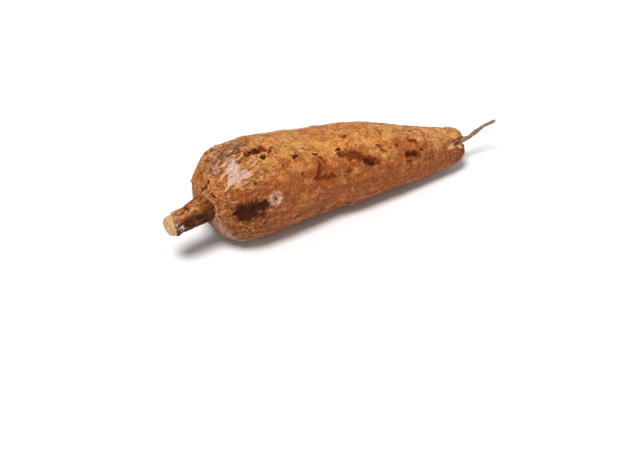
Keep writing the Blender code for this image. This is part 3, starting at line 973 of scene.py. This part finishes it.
# %% Flecks, glints, grey underside with a painted reflection of the floor, and dust with a painted sheen
fleck_cloud = cloud(stretched(place, 0.7, 1, 1), 2.0, 2, 0.5, 0.4)
glint_cell = cells(place, 3.4) + swing(grain, 0.12)
glint_part = step_up(cloud(place, 8, 2), 0.48, 0.60)
dust_and_sheen_area = attribute(start, "dust_and_sheen") + swing(mottle, 1.8) + swing(paper, 1.0)
dust_and_sheen_colour = mixed(step_up(mottle + swing(paper, 0.6), 0.4, 0.62), DUST_AND_SHEEN, DUST_AND_SHEEN_DARK)
colour = laid_over(colour, [
    (fleck_cloud, 0.59, 0.65, 0.75 * step_up(blotch, 0.36, 0.56), SCAB_RED),
    (glint_cell, 0.15, 0.09, 0.7 * glint_part, PEACH),
    # greyer underside: a painted reflection of the pale floor
    (under + swing(mottle, 0.9), 0.3, 1.0, 0.6, GREY_SKIN),
    # dust and a painted sheen along the top of the far side
    (dust_and_sheen_area, 0.1, 0.7, 0.6, dust_and_sheen_colour),
])

# %% Marks with ragged edges: areas of another colour and torn edges of paper
ragged = swing(cloud(place, 2.6, 5, 0.62, 0.5), 1.8) + swing(grain, 0.5)
# the bloom: pale waxy bark and a painted highlight, also a little glossier
bloom_and_highlight = step_up(attribute(start, "bloom_and_highlight") + swing(streaks, -2.2) + swing(paper, 0.9), -0.35, 0.65)
grey_colour = mixed(step_up(rings, 0.4, 0.6), WHITE_SKIN, GREY_SKIN)
violet_colour = mixed(step_up(streaks, 0.42, 0.56), VIOLET_PALE, VIOLET_BROWN)
bloom_and_highlight_colour = mixed(step_up(paper + swing(grain, 0.5), 0.42, 0.62), BLOOM_AND_HIGHLIGHT, BLOOM_GREY)
colour = laid_over(colour, [
    (attribute(start, "rust") + ragged, -0.4, 0.7, 0.6, RED_BROWN),
    (attribute(start, "grey") + ragged, -0.3, 0.8, 0.75, grey_colour),
    (attribute(start, "violet") + ragged, -0.35, 0.35, 0.9, violet_colour),
])
colour = mixed(bloom_and_highlight * 0.88, colour, bloom_and_highlight_colour)
colour = laid_over(colour, [
    # torn edges of paper: a painted shadow below each edge and a painted highlight on the edge
    (attribute(start, "edge_shade") + swing(paper, 1.4), 0.3, 1.0, 0.6, BROWN),
    (attribute(start, "edge") + swing(paper, 1.4), 0.3, 1.0, 0.7, PEACH),
])

# %% Marks with ragged edges: scabs
brown_area = attribute(start, "brown_scab") + ragged
dark_area = attribute(start, "dark_scab") + ragged
brown_scab = step_up(brown_area, -0.1, 0.5)
dark_scab = step_up(dark_area, -0.1, 0.45)
brown_colour = mixed(step_up(paper, 0.38, 0.58), SCAB_RED, SCAB_BROWN)
dark_colour = mixed(step_up(paper + swing(grain, 0.8), 0.5, 0.7), SCAB_DARK, SCAB_BROWN)
colour = laid_over(colour, [(brown_area, -0.55, 0.3, 0.45, RED_BROWN)])
colour = mixed(brown_scab * 0.92, colour, brown_colour)
colour = laid_over(colour, [(dark_area, -0.5, 0.2, 0.7, SCAB_RED)])
colour = mixed(dark_scab * 0.95, colour, dark_colour)

# %% Ring scars, lip of the stem with a painted highlight, and split of the tail
ring_place = attribute(start, "ring") + swing(grain, 0.5) + swing(paper, 0.7)
ring_break = step_up(cloud(place, 2.4, 2), 0.42, 0.56)
ring_band = step_up(ring_place, 0.45, 0.7) * step_up(ring_place, 1.2, 0.95) * ring_break
cleft_inside = step_up(attribute(start, "cleft_deep") + swing(paper, 0.8), 0.2, 0.9)
cleft_colour = mixed(cleft_inside, CLEFT_PALE, CLEFT_BROWN)
colour = laid_over(colour, [
    (ring_place, 1.3, 0.8, 0.55, RED_BROWN),
    (ring_place, 1.0, 0.6, 0.5, BLOOM_GREY),
])
colour = mixed(ring_band * 0.8, colour, WHITE_SKIN)
colour = laid_over(colour, [
    (ring_place, 0.36, 0.16, 0.9, SCAB_BROWN),
    # the raised lip painted pale: a painted highlight along its rim
    (attribute(start, "lip") + swing(grain, 0.8), 0.4, 0.9, 0.7, LIP_TAN_HIGHLIGHT),
    (attribute(start, "cleft") + swing(paper, 1.2), 0.3, 0.9, 0.82, cleft_colour),
])
print("with all marks", len(bark.node_tree.nodes), "nodes")

# %% Specks, roughness and fine relief of the bark
BARK_BUMP = 0.0008
BARK_SPECULAR = 0.05
BARK_COAT = 0.12
BARK_COAT_ROUGHNESS = 0.35

speck_cell = cells(place, 4.2) + swing(grain, 0.14)
speck_part = step_up(cloud(place, 6, 1), 0.5, 0.62)
colour = laid_over(colour, [(speck_cell, 0.17, 0.10, 0.8 * speck_part, SCAB_BROWN)])
connect(bark_shader, "Base Color", colour)
roughness = 0.56 + swing(paper, 0.3) + 0.35 * dark_scab + 0.3 * brown_scab - 0.08 * bloom_and_highlight
connect(bark_shader, "Roughness", roughness)
fine = paper * 0.7 + streaks * (0.1 + 0.9 * shoulder_part) + rings * (0.3 + 0.5 * tail_part) + grain * 0.4
fine = fine + (scale_lift + step_up(scale_edge, 0.0, 0.08)) * 0.25 * shoulder_part
fine = fine - 0.4 * dark_scab - 0.25 * brown_scab
bumped(bark_shader, fine, BARK_BUMP, 1.0)
bark_shader.inputs["Specular IOR Level"].default_value = BARK_SPECULAR
bark_shader.inputs["Coat Weight"].default_value = BARK_COAT
bark_shader.inputs["Coat Roughness"].default_value = BARK_COAT_ROUGHNESS
skin.data.materials.append(bark)
print("bark has", len(bark.node_tree.nodes), "nodes")

# %% [markdown]
# ## Bark and wood of the stem
# The stem's bark is orange-brown on top, with long cracks, and almost black below, where shade is painted in.
# The wood is pale beige with fine fibres along it and rings across its broken end. Both read the place that
# was kept from the upright pieces, so the fibres follow the stem.

# %% Bark of the stem
STEM_ORANGE = (0.42, 0.125, 0.026)
STEM_TAN = (0.66, 0.300, 0.110)
STEM_DARK = (0.030, 0.007, 0.002)
STEM_RED = (0.105, 0.023, 0.005)
TORN_PALE = (0.70, 0.54, 0.44)
STEM_SLOPE = 0.137
STEM_BUMP = 0.0007
STEM_SPECULAR = 0.1

stem_bark, stem_shader, start = new_material("stem bark")
upright = attribute(start, "upright", "Vector")
over_ground = part_of(place_in_mm(start), 2)
stem_up = part_of(upright, 2)
fibres = cloud(stretched(upright, 1, 1, 0.26), 1.7, 4, 0.6, 0.5)
patches = cloud(stretched(upright, 1, 1, 0.45), 3.6, 4, 0.6, 0.6)
crumbs = cloud(upright, 0.8, 3, 0.6)
# the lower side of the stem is painted nearly black: painted shade
low_side_shade = over_ground + stem_up * STEM_SLOPE + swing(patches, 10)
low_side_shade_colour = mixed(step_up(patches, 0.32, 0.54), STEM_RED, STEM_DARK)
torn_patches = step_up(patches + swing(crumbs, 0.8), 0.50, 0.62)
stem_colour = mixed(step_up(patches, 0.52, 0.40), STEM_ORANGE, STEM_TAN)
stem_colour = laid_over(stem_colour, [
    (patches, 0.50, 0.58, 0.85, STEM_RED),
    (fibres, 0.53, 0.62, 0.75, STEM_DARK),
    (fibres, 0.44, 0.36, 0.5, STEM_TAN),
    # painted shade on the lower side
    (low_side_shade, 47.5, 42.5, 0.92, low_side_shade_colour),
    # darker red near the foot, where the stem meets the body: painted shade
    (stem_up + swing(patches, 8), 4.5, 1.0, 0.75, STEM_RED),
    (stem_up + swing(crumbs, 3), 20.8, 22.2, 0.75 * torn_patches, TORN_PALE),
])
connect(stem_shader, "Base Color", stem_colour)
connect(stem_shader, "Roughness", 0.62 + swing(patches, 0.3))
bumped(stem_shader, fibres + patches * 0.8 + crumbs * 0.5, STEM_BUMP, 0.9)
stem_shader.inputs["Specular IOR Level"].default_value = STEM_SPECULAR
sleeve.data.materials.append(stem_bark)
print("stem bark has", len(stem_bark.node_tree.nodes), "nodes")

# %% Wood of the stem
WOOD_PALE = (0.62, 0.38, 0.185)
WOOD_TAN = (0.46, 0.25, 0.105)
WOOD_BROWN = (0.34, 0.16, 0.06)
PITH_PALE = (0.66, 0.50, 0.32)
WOOD_BUMP = 0.0004
WOOD_SPECULAR = 0.25

wood, wood_shader, start = new_material("stem wood")
upright = attribute(start, "upright", "Vector")
flat_place = stretched(upright, 1, 1, 0)
from_pith = flat_place.node("ShaderNodeVectorMath", {"operation": "LENGTH"}, {0: flat_place}, "Value")
wood_up = part_of(upright, 2)
fibres = cloud(stretched(upright, 1, 1, 0.07), 0.7, 4, 0.6, 0.2)
stains = cloud(stretched(upright, 1, 1, 0.3), 3.0, 4, 0.6, 0.5)
grown = from_pith + swing(stains, 0.9)
growth = cloud(grown.node("ShaderNodeCombineXYZ", {}, {0: grown}), 0.8, 2, 0.5)
wood_colour = laid_over(WOOD_PALE, [
    (fibres, 0.42, 0.62, 0.7, WOOD_TAN),
    (stains, 0.55, 0.75, 0.6, WOOD_BROWN),
    (growth, 0.5, 0.62, 0.5 * step_up(wood_up, 29.5, 30.5), WOOD_TAN),
    (from_pith, 1.7, 1.3, 1, PITH_PALE),
    (from_pith, 5.9, 6.6, 0.5 * step_up(wood_up, 30, 30.8), WOOD_BROWN),
    (wood_up, 24, 21, 0.8, WOOD_BROWN),
])
connect(wood_shader, "Base Color", wood_colour)
connect(wood_shader, "Roughness", 0.66 + swing(fibres, 0.3))
bumped(wood_shader, fibres + growth * 0.5, WOOD_BUMP, 0.8)
wood_shader.inputs["Specular IOR Level"].default_value = WOOD_SPECULAR
core.data.materials.append(wood)
print("wood has", len(wood.node_tree.nodes), "nodes")

# %% Bark of the feeder root
THREAD_BROWN = (0.20, 0.105, 0.068)
THREAD_DARK = (0.085, 0.038, 0.022)
THREAD_PALE = (0.32, 0.20, 0.14)
THREAD_FOOT = (0.46, 0.235, 0.125)
THREAD_BUMP = 0.0004
THREAD_SPECULAR = 0.2

thread_bark, thread_shader, start = new_material("feeder root bark")
place = place_in_mm(start)
blotches = cloud(stretched(place, 0.5, 1, 1), 1.6, 4, 0.6, 0.4)
hairs = cloud(stretched(place, 0.15, 1, 1), 0.5, 3, 0.6)
thread_along = part_of(place, 0)
thread_colour = mixed(step_up(blotches, 0.42, 0.62), THREAD_BROWN, THREAD_PALE)
thread_colour = laid_over(thread_colour, [
    (hairs, 0.52, 0.66, 0.7, THREAD_DARK),
    (thread_along + swing(blotches, 6), 124, 116, 1, THREAD_FOOT),
])
connect(thread_shader, "Base Color", thread_colour)
connect(thread_shader, "Roughness", 0.6 + swing(blotches, 0.3))
bumped(thread_shader, blotches + hairs * 0.6, THREAD_BUMP, 0.8)
thread_shader.inputs["Specular IOR Level"].default_value = THREAD_SPECULAR
thread.data.materials.append(thread_bark)
print("feeder root bark has", len(thread_bark.node_tree.nodes), "nodes")

# %% [markdown]
# ## Floor and light
# The root lies on a plain pale floor, as for a picture in a shop. A lamp alone would leave its sides black,
# so there are two lights: a soft sun, high and a little to the left, for the shadow below the root, and a
# white room that is brightest near the horizon, which fills the sides in and gives the bark a faint sheen.

# %% Floor
FLOOR_SIZE = 6
FLOOR_WHITE = (0.93, 0.93, 0.93)
FLOOR_ROUGHNESS = 0.8

bpy.ops.object.select_all(action="DESELECT")
bpy.ops.mesh.primitive_plane_add(size=FLOOR_SIZE, location=(0, 0, 0))
floor = bpy.context.object
floor.name = "floor"
floor_paint, floor_shader, start = new_material("floor paint")
floor_shader.inputs["Base Color"].default_value = (*FLOOR_WHITE, 1)
floor_shader.inputs["Roughness"].default_value = FLOOR_ROUGHNESS
floor.data.materials.append(floor_paint)
print("floor", FLOOR_SIZE, "m across")

# %% Key light
KEY_FROM = Vector((-0.50, -0.38, 1.25))
KEY_POWER = 3.0
KEY_SOFTNESS = 22

key = bpy.data.objects.new("key light", bpy.data.lights.new("key light", "SUN"))
bpy.context.scene.collection.objects.link(key)
key.data.energy = KEY_POWER
key.data.angle = math.radians(KEY_SOFTNESS)
key.location = KEY_FROM
key.rotation_mode = "QUATERNION"
key.rotation_quaternion = KEY_FROM.to_track_quat("Z", "Y")
print("sun with a power of", KEY_POWER)

# %% Room light, bright near the horizon like a white sweep
ROOM_LOW = 1.0
ROOM_HIGH = 0.30
ROOM_RISE = (0.10, 0.35)

world = bpy.data.worlds.new("room")
world.use_nodes = True
room = Shade(world.node_tree, None)
direction = room.node("ShaderNodeTexCoord", {}, {}, "Generated")
strength = ROOM_LOW + (ROOM_HIGH - ROOM_LOW) * step_up(part_of(direction, 2), *ROOM_RISE)
background = world.node_tree.nodes["Background"]
background.inputs["Color"].default_value = (1, 1, 1, 1)
connect(background, "Strength", strength)
bpy.context.scene.world = world
bpy.context.scene.view_settings.view_transform = "Standard"
print("lights are up")

# %% [markdown]
# ## Attach the pieces
# Every piece rides on the root's one body, and the solid model is hidden from view.

# %% Pieces on the body
for piece, finish in ((skin, "bark"), (sleeve, "bark"), (core, "cut_wood"), (thread, "bark")):
    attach(piece, "root")
    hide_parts("cassava_root")
